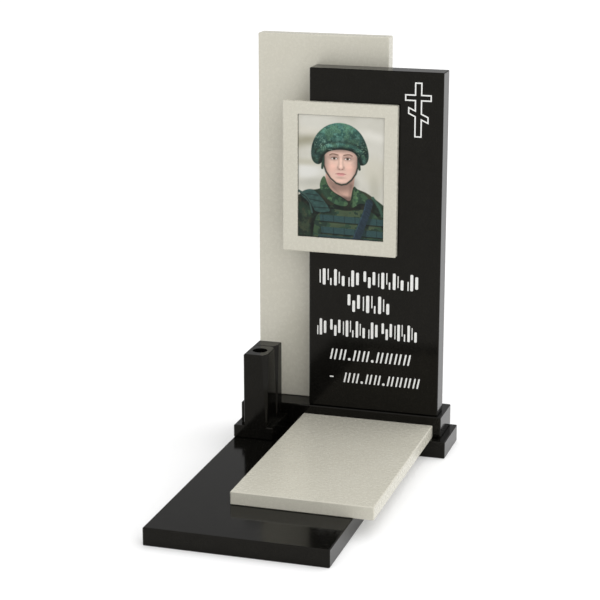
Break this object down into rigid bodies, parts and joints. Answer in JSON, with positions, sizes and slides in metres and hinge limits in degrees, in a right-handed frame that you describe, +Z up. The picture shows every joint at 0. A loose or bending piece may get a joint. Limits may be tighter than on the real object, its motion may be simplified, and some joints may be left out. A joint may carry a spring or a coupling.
{
  "type": "granite grave memorial",
  "caption": "Granite memorial: a light and a dark stele on a stepped plinth, a framed portrait, a ground slab, a ledger and a hollow square vase.",
  "frame": {"origin": "on the ground, at the middle of the footprint", "axes": "+X across the memorial to the viewer's right, +Y from the ground slab to the back, +Z up"},
  "size_m": [0.752, 1.215, 1.432],
  "materials": {
    "dark_granite": "polished",
    "light_stone": "honed",
    "picture_plate": "glossy, printed picture"
  },
  "bodies": {
    "root": {"ground_slab": "dark_granite", "lower_plinth": "dark_granite", "upper_plinth": "dark_granite", "back_stele": "light_stone", "front_stele": "dark_granite", "portrait_frame": "light_stone", "portrait_plate": "picture_plate", "ledger": "light_stone", "vase": "dark_granite"}
  },
  "joints": []
}
